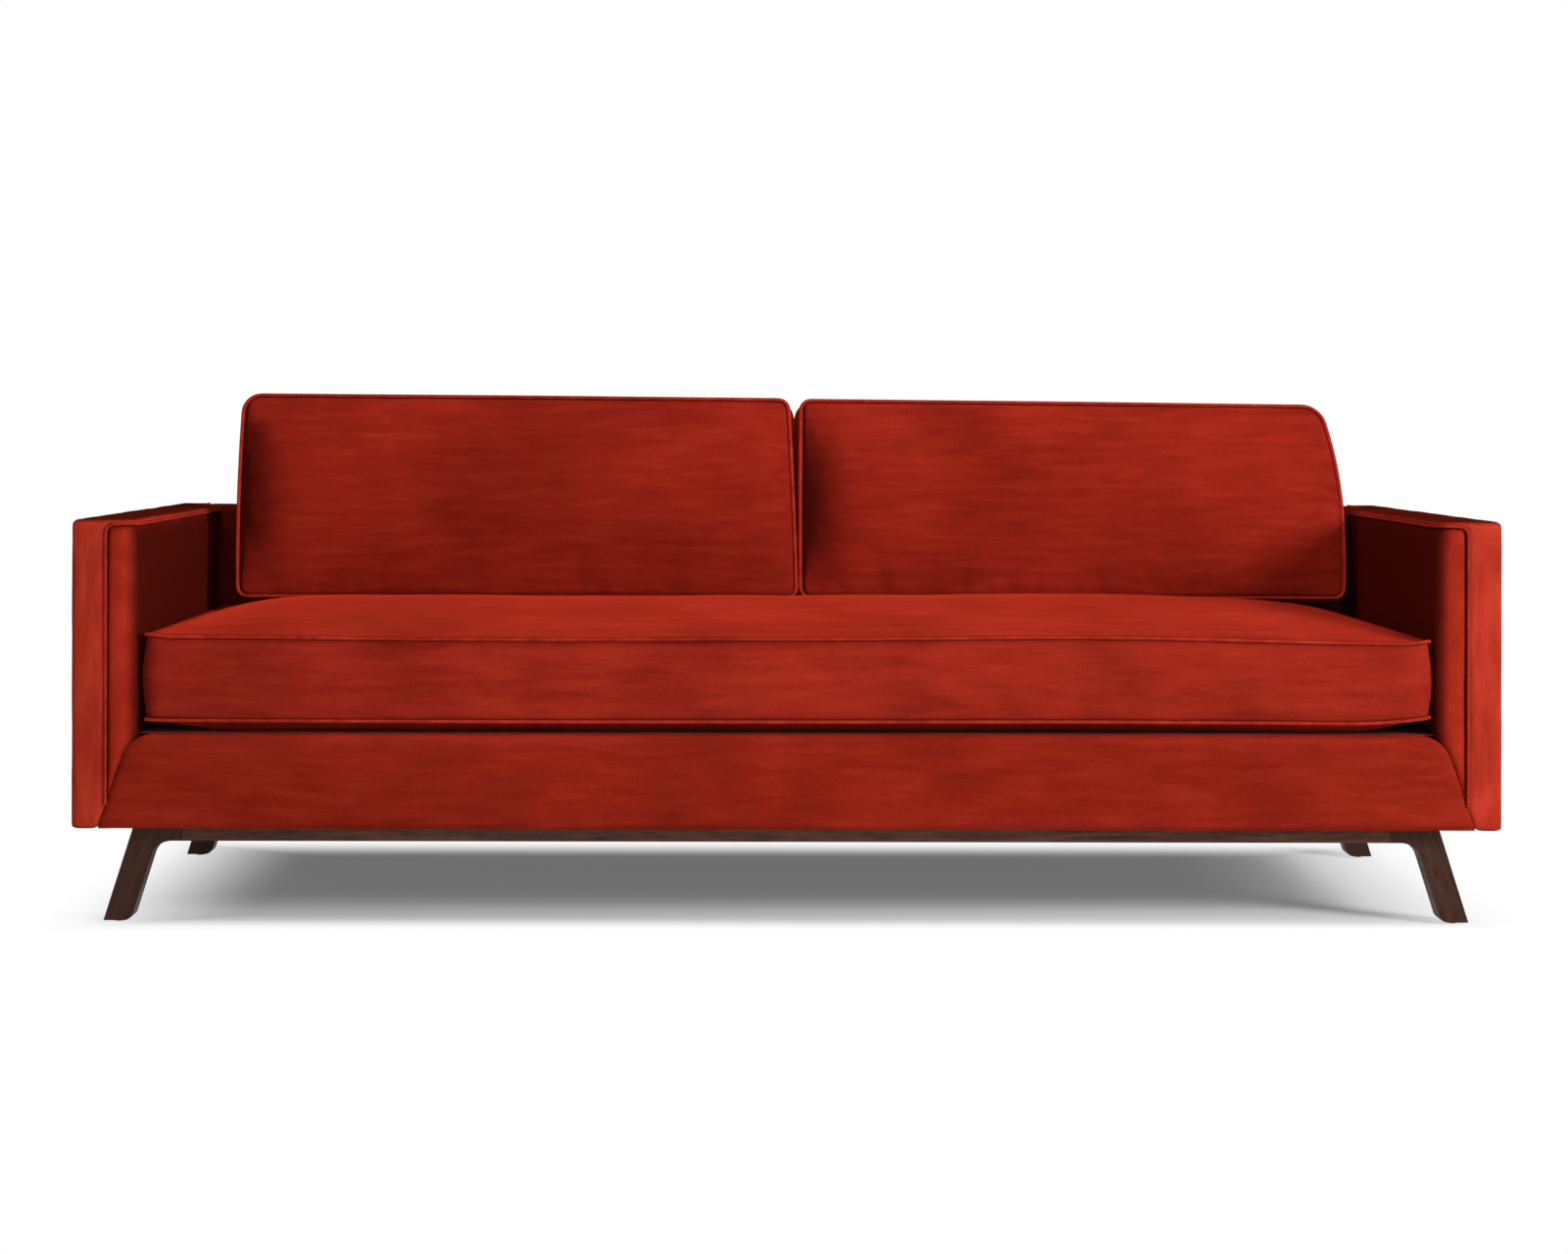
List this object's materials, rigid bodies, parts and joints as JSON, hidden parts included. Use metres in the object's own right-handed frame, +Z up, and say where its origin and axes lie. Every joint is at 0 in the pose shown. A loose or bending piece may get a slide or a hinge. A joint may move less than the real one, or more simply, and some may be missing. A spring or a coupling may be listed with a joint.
{
  "type": "tuxedo sofa",
  "caption": "Tuxedo sofa with slab arms level with its back, a bench seat cushion, loose boxed back cushions and splayed wooden leg frames.",
  "frame": {"origin": "on the floor, under the middle of the sofa's width and depth", "axes": "+X to the right of someone looking at the front, +Y to the back, +Z up"},
  "size_m": [2.235, 0.915, 0.8321],
  "materials": {
    "velvet": "matte",
    "walnut": "satin",
    "frame_wood": "matte",
    "fibreboard": "matte",
    "steel": "satin",
    "foam": "matte",
    "felt": "matte",
    "lining": "matte",
    "dust_cloth": "matte",
    "black_plastic": "satin"
  },
  "bodies": {
    "sofa_frame": {"back_bottom_rail": "frame_wood", "back_top_rail": "frame_wood", "back_uprights": "frame_wood", "back_webbing": "lining", "corner_blocks": "frame_wood", "cross_rails": "frame_wood", "deck_cloth": "lining", "deck_pad": "foam", "dust_cover": "dust_cloth", "front_base_rail": "walnut", "front_left_leg": "walnut", "front_leg_cleat": "frame_wood", "front_rail_cover": "velvet", "front_rail_foam": "foam", "front_right_leg": "walnut", "front_seat_rail": "frame_wood", "inside_back_pad": "velvet", "insulator_felt": "felt", "left_arm_cover": "velvet", "left_arm_front_post": "frame_wood", "left_arm_inner_board": "fibreboard", "left_arm_pad": "velvet", "left_arm_rear_post": "frame_wood", "left_arm_top_rail": "frame_wood", "left_side_seat_rail": "frame_wood", "leg_frame_screws": "steel", "leg_tenons": "frame_wood", "nail_glides": "black_plastic", "outside_back_board": "fibreboard", "outside_back_cover": "velvet", "rear_base_rail": "walnut", "rear_left_leg": "walnut", "rear_leg_cleat": "frame_wood", "rear_right_leg": "walnut", "rear_seat_rail": "frame_wood", "right_arm_cover": "velvet", "right_arm_front_post": "frame_wood", "right_arm_inner_board": "fibreboard", "right_arm_pad": "velvet", "right_arm_rear_post": "frame_wood", "right_arm_top_rail": "frame_wood", "right_side_seat_rail": "frame_wood", "sinuous_springs": "steel", "spring_clips": "steel", "spring_tie_rods": "steel"},
    "seat_cushion": {"seat_cushion_cover": "velvet", "seat_cushion_core": "foam", "seat_cushion_zip": "black_plastic"},
    "left_back_cushion": {"left_back_cushion_cover": "velvet", "left_back_cushion_core": "foam", "left_back_cushion_zip": "black_plastic"},
    "right_back_cushion": {"right_back_cushion_cover": "velvet", "right_back_cushion_core": "foam", "right_back_cushion_zip": "black_plastic"}
  },
  "joints": [
    {"name": "seat_cushion_slide", "type": "slide", "parent": "sofa_frame", "child": "seat_cushion", "axis": [0, -1, 0], "range_m": [0, 0.75]},
    {"name": "left_back_cushion_lift", "type": "slide", "parent": "sofa_frame", "child": "left_back_cushion", "axis": [0, 0, 1], "range_m": [0, 0.4]},
    {"name": "right_back_cushion_lift", "type": "slide", "parent": "sofa_frame", "child": "right_back_cushion", "axis": [0, 0, 1], "range_m": [0, 0.4]}
  ]
}
